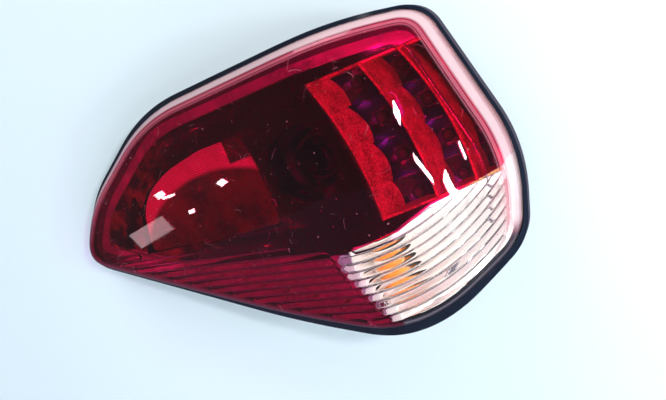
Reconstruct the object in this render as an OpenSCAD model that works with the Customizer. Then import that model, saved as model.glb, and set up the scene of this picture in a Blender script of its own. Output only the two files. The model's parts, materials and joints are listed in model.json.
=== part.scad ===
// Rear corner lamp of an estate car: a wrap-round lens over LED cups, a reflex panel and two bulb bowls.
// +Z is up on the car, the lens faces -Y, and +Y runs along the studs into the body.
// The origin is the locating dowel, on the plane where the studs' pads meet the body.

/* [Lens] */
// Reach of the lens from the dowel to its narrow tip
lens_tip_x = -293; // [-320:1:-280]
// Reach of the lens from the dowel to its tall side
lens_side_x = 127; // [124:1:136]
// Height of the lens above the dowel
lens_top_z = 120; // [118:1:130]
// Depth of the lens below the dowel
lens_bottom_z = -112; // [-120:1:-110]
// Distance from the body to the front of the lens
lens_front = 125; // [120:1:135]
// Radius of the bend that takes the lens round the corner
bend_r = 110; // [100:5:120]
// Sweep of the narrow side back from square, in degrees
tip_sweep = 19; // [16:1:21]
// Sweep of the tall side back from square, in degrees
side_sweep = 50; // [44:1:54]
// Thickness of the lens
lens_t = 2.6; // [2:0.1:3.2]
// Bulge of the lens from its middle height to its edge
crown = 7; // [4:0.5:9]
// Depth of the rolled edge of the lens
roll = 11; // [9:0.5:12]

/* [Housing] */
// Width of black rim above the lens
rim_top = 3.5; // [2:0.5:4]
// Width of black rim at the tall side of the lens
rim_side = 3; // [2.5:0.5:5]
// Width of black rim at the tip of the lens
rim_tip = 7; // [5:0.5:9]
// Width of black rim below the lens
rim_bottom = 8; // [6:0.5:10]
// Wall thickness of the housing
wall = 2.6; // [2:0.1:3]
// Height of the pads between housing and body
pad_h = 14; // [12:1:18]
// Diameter of the studs
stud_d = 6; // [5, 6, 8]
// Length of the studs behind their pads
stud_l = 20; // [14:1:30]
// Diameter of the locating dowel
dowel_d = 10; // [8:1:12]
// Length of the locating dowel
dowel_l = 14; // [10:1:20]

/* [Lamps] */
// Rows of LEDs
led_rows = 4; // [3:1:4]
// Height between LED rows
led_pitch = 31; // [29:1:32]
// Depth of an LED cup
cup_deep = 20; // [16:1:22]
// Radius of a bulb's glass
bulb_r = 12.5; // [11:0.5:13]
// Clearance between pieces that are put together
gap = 0.2; // [0.1:0.05:0.3]

/* [Hidden] */
$fn = 48;
LED_NAMES = [for (c = [1:3], r = [1:led_rows]) str("led_", c, "_", r)];

// Plan of the bend: straight to the tip, an arc round the corner, straight to the tall side
arc_turn = -13;
arc_x = -bend_r * sin(arc_turn);
arc_left = arc_x - bend_r * sin(tip_sweep - 1);
arc_right = arc_x + bend_r * sin(side_sweep - 1);
function arc_at(x) = bend_r - sqrt(bend_r * bend_r - (x - arc_x) * (x - arc_x));
function plan_y(x) = -lens_front + (
    x < arc_left ? arc_at(arc_left) + (arc_left - x) * tan(tip_sweep) :
    x > arc_right ? arc_at(arc_right) + (x - arc_right) * tan(side_sweep) :
    arc_at(x));

// Corners of the lens seen square on: x, z and the length of the blend either side
lens_corners = [
    [lens_tip_x, 20, 30],
    [lens_tip_x + 42, lens_top_z - 50, 30],
    [lens_tip_x + 142, lens_top_z, 44],
    [lens_side_x - 77, lens_top_z - 4, 32],
    [lens_side_x - 24, lens_top_z - 13, 17],
    [lens_side_x, -16, 36],
    [lens_side_x - 18, lens_bottom_z + 37, 16],
    [24, lens_bottom_z, 52],
    [-80, lens_bottom_z + 37, 44]
];
// How far the rim's corners lie outside the lens's corners
rim_step = [
    [-rim_tip - 3, -rim_bottom / 3], [-rim_tip, rim_top], [-rim_side, rim_top + 1], [0, rim_top],
    [rim_side - 1, rim_top - 1], [rim_side, 0], [rim_side, -rim_bottom / 2], [0, -rim_bottom],
    [-2, -rim_bottom]
];
rim_corners = [for (i = [0:len(lens_corners) - 1]) lens_corners[i] + [rim_step[i][0], rim_step[i][1], 0]];

edge_step = 13;
function unit(v) = v / norm(v);
function flat(c) = [c[0], c[1]];
// Start and end of the straight between corner i and the next
function leave(c, i) = flat(c[i]) + unit(flat(c[(i + 1) % len(c)]) - flat(c[i])) * c[i][2];
function arrive(c, i) = flat(c[i]) + unit(flat(c[(i + len(c) - 1) % len(c)]) - flat(c[i])) * c[i][2];
function blend(a, b, c, t) = a * pow(1 - t, 2) + 2 * b * t * (1 - t) + c * t * t;
function round_off(c, step, n) = [for (i = [0:len(c) - 1]) let (
    into = arrive(c, i), out = leave(c, i), next = arrive(c, (i + 1) % len(c)),
    cuts = ceil(norm(next - out) / step))
    each concat(
        [for (k = [0:n]) blend(into, flat(c[i]), out, k / n)],
        [for (k = [1:1:cuts - 1]) out + (next - out) * k / cuts])];
lens_line = round_off(lens_corners, edge_step, 7);
rim_line = round_off(rim_corners, 500, 16);
turns = len(lens_line);
// Direction into the lens at point i of its outline
function inward(i) = let (d = unit(lens_line[(i + 1) % turns] - lens_line[(i + turns - 1) % turns]))
    [d[1], -d[0]];
function inset_line(e) = [for (i = [0:turns - 1]) lens_line[i] + inward(i) * e];

// The lens's skin: rings over the rolled edge, then rings that shrink to its middle
lens_foot = 28;
lens_middle = [-60, 5];
roll_steps = 4;
ring_scales = [0.86, 0.72, 0.58, 0.44, 0.3, 0.15];
crown_rate = crown / pow(lens_top_z, 2);
function skin_y(p) = plan_y(p[0]) + crown_rate * p[1] * p[1];
function rolled(e) = roll * (1 - sqrt(max(0, 1 - pow((roll - e) / roll, 2))));
function skin_ring(e, drop, t) = [for (p = inset_line(e + t)) [p[0], skin_y(p) + drop + t, p[1]]];
function foot_ring(t) = [for (p = inset_line(t)) [p[0], plan_y(p[0]) + lens_foot, p[1]]];
function small_ring(s, t) = [for (q = inset_line(roll + t)) let (p = lens_middle + (q - lens_middle) * s)
    [p[0], skin_y(p) + t, p[1]]];
function skin(t) = concat(
    [foot_ring(t)],
    [for (k = [0:roll_steps]) let (e = roll * (1 - cos(90 * k / roll_steps))) skin_ring(e, rolled(e), t)],
    [for (s = ring_scales) small_ring(s, t)]);
function flatten(l) = [for (a = l, b = a) b];

// Flutes of the window
window_x = -11;
flute_top = -41;
flute_end = 114;
flute_pitch = 6.2;
flute_sweep = 0.6;
flute_climb = 0.08;
flute_high = 1.5;
flute_sunk = 1;
flute_gap = 0.3;
flute_sides = 5;
flute_steps = 12;
flute_rows = 9;
flute_taper = 0.4;
flute_short = 2.6;
window_step = 3;
rib_rows = [-3, 6];
rib_steps = 4;
rib_margin = 10;

// LED tray: fins that lean towards the tip as they rise
fin_x = [30, 70, 97, 113];
fin_t = 1.8;
fin_bend = 0.002;
fin_low = -5;
tray_top = 86;
tray_bottom = -24;
tray_front = 14;
fin_deep = 30;
bowl_rate = 0.05;
led_hole_r = 4.4;
plate_t = 1.8;
led_low = -18;
function lean(z) = -fin_bend * pow(z - fin_low, 2);
function column_x(c) = (fin_x[c] + fin_x[c + 1]) / 2;
function plate_y(c) = plan_y(column_x(c)) + fin_deep;
function led_z(r) = led_low + (led_rows - r) * led_pitch;
function bent(x, z0, z1) = [for (k = [0:8]) let (z = z0 + (z1 - z0) * k / 8) [x + lean(z), z]];
function reversed(l) = [for (i = [len(l) - 1:-1:0]) l[i]];
function strip(x0, x1, z0, z1) = concat(bent(x0, z0, z1), reversed(bent(x1, z0, z1)));
board_y = cup_deep + plate_t - bowl_rate * pow(led_hole_r, 2) + gap;
board_t = 1.6;
board_w = 15;
board_screw_r = 2.4;
board_screw_h = 1.2;
led_body_r = 3.8;
led_body_h = 2.6;
led_dome_r = 3;

// Housing
rim_front = 20;
rim_back = 34;
ledge = 5.4;
tub_in = 6.6;
back_in = -pad_h - wall;
groove = 0.5;
seal_h = 3;
// Bezel
bezel_deep = 15;
bezel_t = 2.2;
lip_t = 1.5;
bezel_posts = [[-150, 96], [20, 98], [-118, -36]];
post_r = 4;
screw_r = 1.5;
screw_head_r = 3.2;
screw_head_h = 2;
screw_l = 9;
post_front = 23.5;
panel_deep = 24;
frame_w = 9;
frame_high = 3;
dish_front_r = 31;
seat_deep = 1.6;
function screw_seat(p) = plan_y(p[0]) + bezel_deep + seat_deep;
// Reflector ears
ears = [[47, 96], [92, 92], [21, -10]];
ear_t = 2.5;
// Studs, vents and inlet on the back
stud_at = [[-188, 42], [80, 62], [68, -56]];
pad_r = 11;
gusset_t = 2;
gusset_l = 6;
stud_head_r = 8;
stud_head_h = 3;
stud_collar = 1;
gasket_in = 7.5;
gasket_w = 6;
gasket_left = arc_left - (lens_front - pad_h - rim_back - arc_at(arc_left)) / tan(tip_sweep) + 5.3;
vent_upper = [-120, 84];
vent_lower = [-128, -14];
vent_r = 5;
vent_cap_r = 8.5;
inlet_at = [64, 12];
inlet_w = 34;
inlet_h = 17;
inlet_t = 2;
inlet_deep = 16;
pin_pitch = 6;
pin_w = 2;
pin_t = 0.8;
vent_wall = 1.6;
// Bulbs
brake_at = [-20, 34];
signal_at = [7, -66];
bulb_front = -82;
bulb_base_r = 7.6;
bulb_neck = -46;
bulb_seat = -28;
socket_front = -40;
socket_r = 14.5;
socket_hole_r = 15.2;
socket_flange_r = 19.5;
socket_flange_t = 3;
socket_seal_t = 1.5;
notch_turn = 20;
notch_r = 2.2;
plug_hole = [20, 9];
plug_wall = 3;
plug_back = 10;
plug_floor = -4;
snout_r = 22.5;
bowl_back = -52;
bowl_t = 2;
dish_r = 34;

module along_y(y0, y1) {
    translate([0, y1, 0]) rotate([90, 0, 0]) linear_extrude(height = y1 - y0) children();
}

module post_y(p, r, y0, y1) {
    translate([p[0], y1, p[1]]) rotate([90, 0, 0]) cylinder(r = r, h = y1 - y0);
}

// Everything in front of the bend, once the bend is moved back by d
module ahead(d) {
    far = 400;
    translate([0, d - lens_front, 0]) linear_extrude(height = 2 * far, center = true) difference() {
        polygon([
            [arc_left, arc_at(arc_left)], [arc_right, arc_at(arc_right)],
            [arc_right + far, arc_at(arc_right) + far * tan(side_sweep)], [arc_right + far, -far],
            [arc_left - far, -far], [arc_left - far, arc_at(arc_left) + far * tan(tip_sweep)]]);
        translate([arc_x, bend_r]) circle(r = bend_r, $fn = 96);
    }
}

// The children from depth d behind the bend to their back
module beyond(d) {
    difference() {
        children();
        ahead(d);
    }
}

// The children between depths d0 and d1 behind the bend
module between(d0, d1) {
    beyond(d0) intersection() {
        ahead(d1);
        children();
    }
}

module lens_shape(e) {
    offset(delta = -e) polygon(lens_line);
}

// The 2D children as a sheet that follows the bend
module sheet(d0, d1) {
    between(d0, d1) along_y(-lens_front - 5, 60) children();
}

module cover() {
    outer = skin(0);
    inner = skin(lens_t);
    rings = concat(outer, reversed(inner));
    n = len(rings);
    half = len(outer);
    mid = len(rings) * turns;
    points = concat(flatten(rings), [
        [lens_middle[0], skin_y(lens_middle), lens_middle[1]],
        [lens_middle[0], skin_y(lens_middle) + lens_t, lens_middle[1]]]);
    function at(r, i) = r * turns + i % turns;
    walls = [for (r = [0:n - 1], i = [0:turns - 1]) if (r != half - 1) each let (q = (r + 1) % n)
            [[at(r, i), at(q, i + 1), at(q, i)], [at(r, i), at(r, i + 1), at(q, i + 1)]]];
    front = [for (i = [0:turns - 1]) [at(half - 1, i), at(half - 1, i + 1), mid]];
    rear = [for (i = [0:turns - 1]) [at(half, i), mid + 1, at(half, i + 1)]];
    polyhedron(points, concat(walls, front, rear));
}

// Outline of the clear window: level with the tray, with a scalloped end for each flute
module window_shape() {
    polygon([
        [window_x, -35], [39, -33], [66, -24], [114, -20], [160, 8], [160, -140], [14, -140],
        for (k = [flute_rows - 1:-1:0]) [window_left(k), flute_z(k, window_left(k))]]);
    for (k = [0:flute_rows - 1]) translate([window_left(k), flute_z(k, window_left(k))])
        circle(r = flute_pitch / 2, $fn = 16);
}

// Flutes inside the window: half-round rods that climb as the lens sweeps back
function rise(x) = flute_sweep * (plan_y(x) - plan_y(window_x)) + flute_climb * (x - window_x);
function slope(x) = plan_y(x + 0.5) - plan_y(x - 0.5);
function flute_z(k, x) = flute_top - flute_pitch * k + rise(x);
function window_left(k) = window_x + max(0, k - 1) * window_step;
function flute_to(k) = flute_end - k * flute_short;
function flute_ring(k, x, grown) = let (
    w = (flute_pitch - flute_gap) / 2 * grown, m = slope(x), n = unit([-m, 1]), z = flute_z(k, x))
    [for (q = concat(
        [for (j = [0:flute_sides]) let (a = 180 * j / flute_sides) [flute_high * grown * sin(a), w * cos(a)]],
        [[-flute_sunk, -w], [-flute_sunk, w]]))
        [x + n[0] * q[0], skin_y([x, z + q[1]]) + lens_t + n[1] * q[0], z + q[1]]];

module flute(k, x0, x1, steps) {
    n = flute_sides + 3;
    points = [for (i = [0:steps])
        each flute_ring(k, x0 + (x1 - x0) * i / steps, i == 0 || i == steps ? flute_taper : 1)];
    walls = [for (i = [0:steps - 1], j = [0:n - 1]) let (a = i * n, b = a + n, q = (j + 1) % n)
        each [[a + j, a + q, b + q], [a + j, b + q, b + j]]];
    polyhedron(points, concat(walls, [[for (j = [n - 1:-1:0]) j], [for (j = [0:n - 1]) steps * n + j]]));
}

// Ribs of the red part lie on the same lines, from the window to the lens's long lower edge
function lower_edge() = (lens_corners[8][1] - lens_corners[0][1]) / (lens_corners[8][0] - lens_tip_x);
function rib_from(k) = lens_tip_x + (flute_z(k, lens_tip_x) - lens_corners[0][1] - rib_margin)
    / (lower_edge() - flute_climb + flute_sweep * tan(tip_sweep));
function rib_to(k) = window_left(k) - flute_pitch;

module outer_lens() {
    color("firebrick", 0.6) union() {
        difference() {
            cover();
            along_y(-lens_front - 5, 80) window_shape();
        }
        for (k = [rib_rows[0]:rib_rows[1]]) flute(k, rib_from(k), rib_to(k), rib_steps);
    }
}

module signal_window() {
    color("white", 0.4) union() {
        intersection() {
            cover();
            along_y(-lens_front - 5, 80) window_shape();
        }
        intersection() {
            union() for (k = [0:flute_rows - 1]) flute(k, window_left(k), flute_to(k), flute_steps);
            along_y(-lens_front - 5, 80) offset(delta = -lens_t / 2) window_shape();
        }
    }
}

module lens_seal() {
    color("dimgray") sheet(lens_foot + 2 * gap, lens_foot + seal_h) difference() {
        lens_shape(-groove);
        lens_shape(lens_t + groove);
    }
}

module housing_shell() {
    difference() {
        union() {
            sheet(rim_front, rim_back) polygon(rim_line);
            beyond(rim_back - 2) along_y(-lens_front, -pad_h) lens_shape(tub_in - wall);
        }
        sheet(rim_front - 5, lens_foot + seal_h) difference() {
            lens_shape(-groove - gap);
            lens_shape(lens_t + groove + gap);
        }
        sheet(rim_front - 5, rim_back - wall) lens_shape(tub_in);
        beyond(rim_front - 5) along_y(-lens_front, back_in) lens_shape(tub_in);
    }
}

module back_ribs() {
    along_y(-pad_h - 1, -pad_h + 5) intersection() {
        gasket_shape(gasket_w + 2);
        union() {
            for (x = [-160, -95]) translate([x, 0]) square([2, 400], center = true);
            for (z = [70, 14]) translate([-128, z]) square([160, 2], center = true);
        }
    }
}

// Four webs that brace a pad against the back wall
module gussets(p) {
    for (a = [45:90:359]) translate([p[0], -pad_h, p[1]]) rotate([0, a, 0])
        translate([0, -1, -gusset_t / 2]) linear_extrude(height = gusset_t) polygon([
            [pad_r / 2, 0], [pad_r + gusset_l, 0], [pad_r + gusset_l, 1],
            [pad_r, pad_h - 1], [pad_r / 2, pad_h - 1]]);
}

module housing() {
    color("#101820") difference() {
        union() {
            housing_shell();
            back_ribs();
            for (p = bezel_posts) beyond(post_front) post_y(p, post_r, -lens_front, back_in + 1);
            for (i = [0:2]) post_y(ears[i], post_r, ear_y(i) + ear_t + gap, back_in + 1);
            for (p = concat(stud_at, [[0, 0]])) {
                post_y(p, pad_r, -pad_h - 1, 0);
                gussets(p);
            }
            post_y([0, 0], dowel_d / 2, -1, dowel_l);
            for (p = [brake_at, signal_at]) post_y(p, snout_r, bowl_back + bowl_t + gap, back_in + 1);
            for (p = [vent_upper, vent_lower]) post_y(p, vent_r, -pad_h - 1, -pad_h + 8);
            along_y(-pad_h - 1, -pad_h + inlet_deep) translate(inlet_at)
                square([inlet_w, inlet_h], center = true);
        }
        for (p = [brake_at, signal_at]) {
            post_y(p, snout_r - wall, bowl_back - 5, back_in);
            post_y(p, socket_hole_r, back_in - 1, 1);
        }
        for (p = bezel_posts) post_y(p, screw_r + gap / 4, -lens_front, back_in - wall);
        for (i = [0:2]) post_y(ears[i], screw_r + gap / 4, -lens_front, ear_y(i) + screw_l + 3);
        for (p = stud_at) {
            post_y(p, stud_d / 2 + stud_collar + gap / 4, -pad_h - wall - 1, 1);
            post_y(p, stud_head_r + gap, -pad_h - wall - 1, -pad_h + stud_head_h);
        }
        for (p = [vent_upper, vent_lower]) post_y(p, vent_r - vent_wall, -pad_h - wall - 1, 0);
        along_y(-pad_h + 2, 10) translate(inlet_at)
            square([inlet_w - 2 * inlet_t, inlet_h - 2 * inlet_t], center = true);
        for (k = [-1.5:1:1.5]) along_y(-pad_h - wall - 1, -pad_h + 3) translate(inlet_at + [k * pin_pitch, 0])
            square([pin_w + gap, pin_t + gap], center = true);
    }
}

module bezel() {
    color("#3a0c14") difference() {
        union() {
            sheet(bezel_deep, bezel_deep + bezel_t) difference() {
                lens_shape(ledge);
                tray_hole();
                panel_hole();
                window_hole();
            }
            sheet(bezel_deep, rim_front - gap) difference() {
                lens_shape(ledge);
                lens_shape(ledge + lip_t);
            }
            sheet(bezel_deep - frame_high, bezel_deep + 1) difference() {
                intersection() {
                    offset(delta = frame_w) tray_hole();
                    lens_shape(ledge);
                    translate([fin_x[0] - 100, tray_bottom]) square([400, 400]);
                }
                tray_hole();
                panel_hole();
            }
            sheet(bezel_deep, panel_deep - gap) difference() {
                offset(delta = lip_t) panel_hole();
                panel_hole();
            }
            sheet(panel_deep - bezel_t, panel_deep - gap) difference() {
                offset(delta = lip_t) panel_hole();
                offset(delta = -lip_t) reflex_line();
                translate(brake_at) circle(r = dish_front_r);
            }
            for (p = bezel_posts) between(bezel_deep + 1, post_front - gap)
                post_y(p, screw_head_r + lip_t + gap, -lens_front - 5, 0);
        }
        for (p = bezel_posts) {
            post_y(p, screw_r + gap / 2, -lens_front - 5, 0);
            post_y(p, screw_head_r + 2 * gap, -lens_front - 5, screw_seat(p));
        }
    }
}

// Outline of the reflex panel: a long curve over its top and a straight foot
module reflex_line() {
    offset(delta = 12) offset(delta = -12) offset(delta = -8) offset(r = 8) polygon([
        [-222, 6], [-207, 45], [-189, 60], [-160, 71], [-110, 76], [-64, 74],
        [-57, 40], [-58, -6], [-112, -2]]);
}

module tray_hole() {
    offset(delta = gap) polygon(strip(fin_x[0] - fin_t, fin_x[3], tray_bottom, tray_top));
}

module panel_hole() {
    offset(delta = -14) offset(r = 14) polygon([
        [-238, 20], [-206, 58], [-160, 78], [fin_x[0] - 20, 78], [fin_x[0] - 9, 40], [fin_x[0] - 5, -8],
        [fin_x[0] - 8, -24], [-50, -14], [-110, -4], [-218, 0]]);
}

module window_hole() {
    intersection() {
        offset(delta = -3) polygon([
            [-11, -35], [39, -33], [66, -28], [150, -27], [150, -140],
            [14, -140], [10, -90], [-4, -68], [-11, -48]]);
        lens_shape(tub_in + 2);
    }
}

function ear_y(i) = plate_y(i == 1 ? 1 : 0);

// One bowl of the tray: a parabola turned round the LED's axis, with the wall behind it
module bowl(reach) {
    steps = 10;
    curve = [for (k = [0:steps]) let (q = led_hole_r + (reach - led_hole_r) * k / steps)
        [q, -cup_deep + bowl_rate * q * q]];
    rotate([90, 0, 0]) rotate_extrude() polygon(concat(curve, [for (p = reversed(curve)) p - [0, plate_t]]));
}

// Heights between which a bowl shows: halfway to its neighbours, or to the tray's end
function bowl_low(r) = r == led_rows ? tray_bottom + fin_t / 2 : led_z(r) - led_pitch / 2;
function bowl_high(r) = r == 1 ? tray_top - fin_t / 2 : led_z(r) + led_pitch / 2;

module led_reflector() {
    color("silver") difference() {
        union() {
            for (c = [0:2], r = [1:led_rows]) intersection() {
                along_y(plate_y(c) - fin_deep, plate_y(c) + board_y)
                    polygon(strip(fin_x[c] - fin_t / 2, fin_x[c + 1] - fin_t / 2, bowl_low(r), bowl_high(r)));
                led_place(c, r) bowl(norm([fin_x[c + 1] - fin_x[c], led_pitch]) / 2 + fin_t);
            }
            for (f = [0:3]) beyond(tray_front) along_y(-lens_front, plate_y(min(f, 2)) + cup_deep)
                polygon(strip(fin_x[f] - fin_t, fin_x[f], tray_bottom, tray_top));
            for (c = [0:2], z = [tray_bottom, tray_top - fin_t]) beyond(bezel_deep + bezel_t + gap)
                along_y(-lens_front, plate_y(c) + cup_deep)
                    polygon(strip(fin_x[c] - fin_t, fin_x[c + 1], z, z + fin_t));
            for (i = [0:2]) ear(i);
        }
        for (p = ears) post_y(p, screw_r + gap / 2, -lens_front, 0);
    }
}

module ear(i) {
    toward = i == 2 ? [8, 0] : [0, -8];
    along_y(ear_y(i), ear_y(i) + ear_t) {
        translate(ears[i]) circle(r = post_r + 0.5);
        translate(ears[i] + toward / 2)
            square([abs(toward[0]) + 2 * post_r - 1, abs(toward[1]) + 2 * post_r - 1], center = true);
    }
}

module led_place(c, r) {
    translate([column_x(c) + lean(led_z(r)), plate_y(c), led_z(r)]) children();
}

module led_board(c) {
    color("darkgreen") difference() {
        along_y(plate_y(c) + board_y, plate_y(c) + board_y + board_t)
            polygon(strip(column_x(c) - board_w / 2, column_x(c) + board_w / 2,
                tray_bottom + 1, tray_top - 1));
        for (z = board_screw_z()) translate([column_x(c) + lean(z), 0, z]) rotate([90, 0, 0])
            cylinder(r = board_screw_r / 2, h = 300, center = true);
    }
}

function board_screw_z() = [led_z(1) - led_pitch / 2, led_z(led_rows) + led_pitch / 2];

module led(c, r) {
    led_place(c - 1, r) color("ivory") rotate([90, 0, 0]) translate([0, 0, -board_y]) {
        cylinder(r = led_body_r, h = led_body_h);
        translate([0, 0, led_body_h]) intersection() {
            sphere(r = led_dome_r);
            translate([0, 0, 5]) cube(10, center = true);
        }
    }
}

module board_screws() {
    color("gold") for (c = [0:2], z = board_screw_z())
        translate([column_x(c) + lean(z), plate_y(c) + board_y + board_t, z])
            rotate([-90, 0, 0]) cylinder(r = board_screw_r, h = board_screw_h);
}

module reflex_panel() {
    color("red") sheet(panel_deep, panel_deep + 3) reflex_line();
}

// Dish that widens from r0 at the back of a bowl to r1 at the front of the lens
module dish(p, r0, r1) {
    deep = bowl_back + lens_front;
    translate([p[0], bowl_back, p[1]]) rotate([90, 0, 0]) rotate_extrude() polygon(concat(
        [for (k = [0:8]) [r0 + (r1 - r0) * sqrt(k / 8), deep * k / 8]],
        [[0, deep], [0, 0]]));
}

module brake_reflector() {
    color("silver") difference() {
        union() {
            sheet(panel_deep, panel_deep + bowl_t) translate(brake_at) circle(r = dish_r + 1);
            beyond(panel_deep) dish(brake_at, snout_r - 2, dish_r + bowl_t);
            post_y(brake_at, snout_r, bowl_back, bowl_back + bowl_t);
        }
        dish(brake_at, snout_r - 2 - bowl_t, dish_r);
        post_y(brake_at, socket_r + 2, -100, 0);
    }
}

module signal_dish(e) {
    hull() {
        sheet(bezel_deep + bezel_t + gap - e, 28) offset(delta = 1.2 - e) window_hole();
        post_y(signal_at, snout_r - e, bowl_back - 2, bowl_back + bowl_t - e);
    }
}

module signal_reflector() {
    color("gainsboro") difference() {
        signal_dish(0);
        signal_dish(bowl_t);
        post_y(signal_at, socket_r + 2, -100, 0);
    }
}

module bulb(p, tint) {
    color(tint) translate([p[0], 0, p[1]]) rotate([90, 0, 0]) rotate_extrude() polygon(concat(
        [[0, -bulb_seat], [bulb_base_r, -bulb_seat], [bulb_base_r, -bulb_neck]],
        [for (a = [-50:10:90]) [bulb_r * cos(a), -bulb_front - bulb_r + bulb_r * sin(a)]]));
}

module socket(p) {
    color("dimgray") difference() {
        union() {
            post_y(p, socket_r, socket_front, -pad_h);
            post_y(p, socket_r, -pad_h - 1, -pad_h + socket_seal_t + 1);
            post_y(p, socket_flange_r, -pad_h + socket_seal_t, -pad_h + socket_seal_t + socket_flange_t);
            along_y(-pad_h + socket_seal_t, plug_back) translate(p)
                square([plug_hole[0] + 2 * plug_wall, plug_hole[1] + 2 * plug_wall], center = true);
        }
        post_y(p, bulb_base_r + gap, socket_front - 5, bulb_seat);
        for (a = [0:notch_turn:359]) post_y(p + (socket_flange_r + 1) * [cos(a), sin(a)], notch_r, -pad_h, 0);
        along_y(plug_floor, plug_back + 1) translate(p) square(plug_hole, center = true);
    }
}

module socket_seal(p) {
    color("black") difference() {
        post_y(p, socket_flange_r - 0.5, -pad_h, -pad_h + socket_seal_t);
        post_y(p, socket_r + gap, -pad_h - 1, 0);
    }
}

module screw(p, y) {
    post_y(p, screw_head_r, y - screw_head_h, y);
    post_y(p, screw_r, y - 0.5, y + screw_l);
}

module bezel_screws() {
    color("silver") for (p = bezel_posts) screw(p, screw_seat(p));
}

module reflector_screws() {
    color("silver") for (i = [0:2]) screw(ears[i], ear_y(i));
}

module studs() {
    color("goldenrod") for (p = stud_at) {
        post_y(p, stud_head_r, -pad_h, -pad_h + stud_head_h);
        post_y(p, stud_d / 2 + stud_collar, -pad_h, 0);
        post_y(p, stud_d / 2, -1, stud_l);
    }
}

module gasket_shape(e) {
    intersection() {
        lens_shape(gasket_in + e);
        translate([gasket_left + e, -200]) square(400);
    }
}

module body_gasket() {
    color("#303030") along_y(-pad_h, -2) difference() {
        gasket_shape(0);
        gasket_shape(gasket_w);
    }
}

module inlet_pins() {
    color("gold") for (k = [-1.5:1:1.5]) along_y(-pad_h - wall - 3, -2)
        translate(inlet_at + [k * pin_pitch, 0]) square([pin_w, pin_t], center = true);
}

module vent_cap(p) {
    color("black") difference() {
        post_y(p, vent_cap_r, -pad_h + gap, -pad_h + 10);
        post_y(p, vent_r + gap / 2, -pad_h - 1, -pad_h + 8);
    }
}

outer_lens();
signal_window();
lens_seal();
housing();
bezel();
led_reflector();
led_board(0);  // led_board_1
led_board(1);  // led_board_2
led_board(2);  // led_board_3
for (c = [1:3], r = [1:led_rows]) led(c, r);
reflex_panel();
brake_reflector();
bulb(brake_at, "whitesmoke");  // brake_bulb
socket(brake_at);  // brake_socket
socket_seal(brake_at);  // brake_socket_seal
signal_reflector();
bulb(signal_at, "orange");  // signal_bulb
socket(signal_at);  // signal_socket
socket_seal(signal_at);  // signal_socket_seal
bezel_screws();
reflector_screws();
board_screws();
studs();
body_gasket();
inlet_pins();
vent_cap(vent_upper);  // vent_cap_upper
vent_cap(vent_lower);  // vent_cap_lower
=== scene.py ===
# %% [markdown]
# # Rear corner lamp of an estate car
# The lamp is packed as a CAD frame: every piece at its real size, in metres, with the lens towards -Y, +Z
# up on the car and the locating dowel at the origin. This lesson gives that frame its looks. Pieces whose
# shape is plain keep their CAD mesh and get a finish. The lens, its flutes, the mirror-coated tray and
# the small optics are modelled again here, finer than the CAD has them, at the places that the frame
# gives.

# %% Load the frame
import json
import math

import bpy
from mathutils import Matrix, Vector


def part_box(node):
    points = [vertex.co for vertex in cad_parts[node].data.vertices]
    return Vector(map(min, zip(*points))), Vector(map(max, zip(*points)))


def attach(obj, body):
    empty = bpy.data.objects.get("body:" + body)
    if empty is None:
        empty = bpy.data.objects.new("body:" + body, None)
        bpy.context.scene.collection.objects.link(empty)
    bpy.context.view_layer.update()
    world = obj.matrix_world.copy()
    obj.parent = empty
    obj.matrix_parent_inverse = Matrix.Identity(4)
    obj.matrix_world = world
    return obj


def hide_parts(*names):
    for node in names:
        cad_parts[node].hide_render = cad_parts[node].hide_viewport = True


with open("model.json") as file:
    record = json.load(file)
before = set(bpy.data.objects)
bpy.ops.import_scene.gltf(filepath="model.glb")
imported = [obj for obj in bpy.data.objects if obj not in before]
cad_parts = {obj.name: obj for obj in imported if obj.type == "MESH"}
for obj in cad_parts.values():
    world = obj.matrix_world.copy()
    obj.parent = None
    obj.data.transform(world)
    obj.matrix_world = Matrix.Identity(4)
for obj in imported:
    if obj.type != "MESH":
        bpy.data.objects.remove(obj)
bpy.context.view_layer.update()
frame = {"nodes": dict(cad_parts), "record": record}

# %% [markdown]
# The loader leaves its objects selected, and an operator acts on all that is selected. So everything is
# deselected before a new piece is started. Sizes are written in millimetres, as on the drawing, and
# turned to metres by MM.

# %% Units and selection
MM = 0.001


def deselect():
    bpy.ops.object.select_all(action="DESELECT")


def pick(obj):
    """Select obj alone and make it active."""
    deselect()
    obj.select_set(True)
    bpy.context.view_layer.objects.active = obj


def corner(node, which):
    """Lowest (0) or highest (1) corner of a CAD node, in millimetres."""
    return Vector(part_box(node)[which]) / MM


deselect()
print("dowel to tip:", round(corner("outer_lens", 0).x, 1), "mm")

# %% [markdown]
# ## Camera
# The photograph looks at the lamp from 21 degrees towards its tall side and 5 degrees above, from 0.6 m,
# with the picture turned 22.5 degrees. The three axes of the camera are worked out from those angles and
# make its matrix. It is then moved a few millimetres sideways and up, which brings the lamp's lower edge
# to its place in the picture.

# %% Camera
view_side = math.radians(21)
view_up = math.radians(5)
view_turn = math.radians(22.5)
view_distance = 600 * MM
lens_front_y = -125 * MM
move_right = 2.1
move_up = 4.9

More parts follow.
